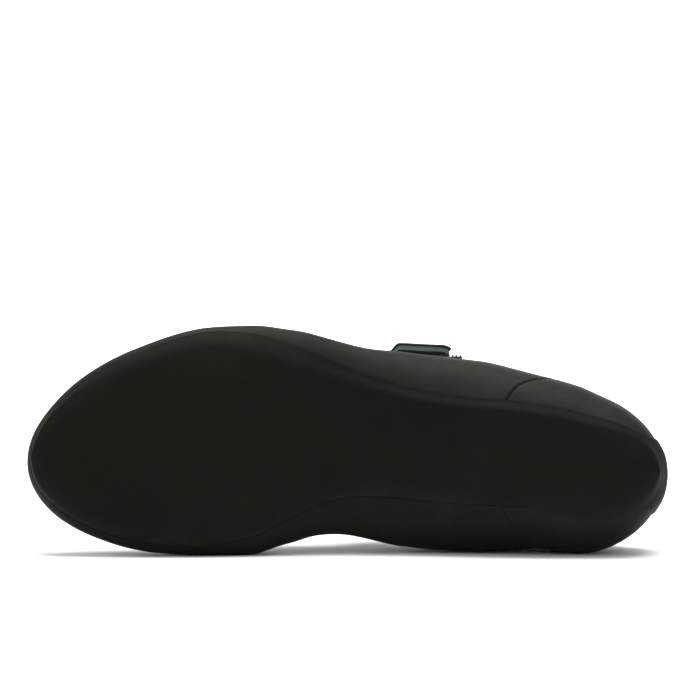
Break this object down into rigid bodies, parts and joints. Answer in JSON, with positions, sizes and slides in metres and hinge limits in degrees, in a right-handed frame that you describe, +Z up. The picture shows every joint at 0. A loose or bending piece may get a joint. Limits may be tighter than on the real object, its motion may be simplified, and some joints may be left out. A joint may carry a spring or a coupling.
{
  "type": "climbing shoe",
  "caption": "Left climbing shoe with smooth full-length sole, rubber rand, heel cup and one closing strap, lying on its inner side.",
  "frame": {"origin": "middle of the shoe's footprint on the floor", "axes": "+Z up; toe towards -X, heel towards +X; the sole faces -Y and the instep +Y, as the shoe lies on its inner side"},
  "size_m": [0.254, 0.0948, 0.0902],
  "materials": {
    "outsole": "smooth matte black rubber",
    "rand": "matte dark rubber",
    "heel_rand": "matte dark rubber",
    "heel_strip": "smooth dark rubber",
    "upper": "brushed synthetic upper, charcoal",
    "tongue": "padded knit, charcoal",
    "insole": "felted footbed",
    "hook_pad": "hook tape",
    "strap_lining": "grey-green webbing",
    "strap": "coated synthetic, black"
  },
  "bodies": {
    "root": {"outsole": "outsole", "rand": "rand", "heel_rand": "heel_rand", "heel_strip": "heel_strip", "upper": "upper", "tongue": "tongue", "insole": "insole", "hook_pad": "hook_pad", "strap_lining": "strap_lining", "strap": "strap"}
  },
  "joints": []
}
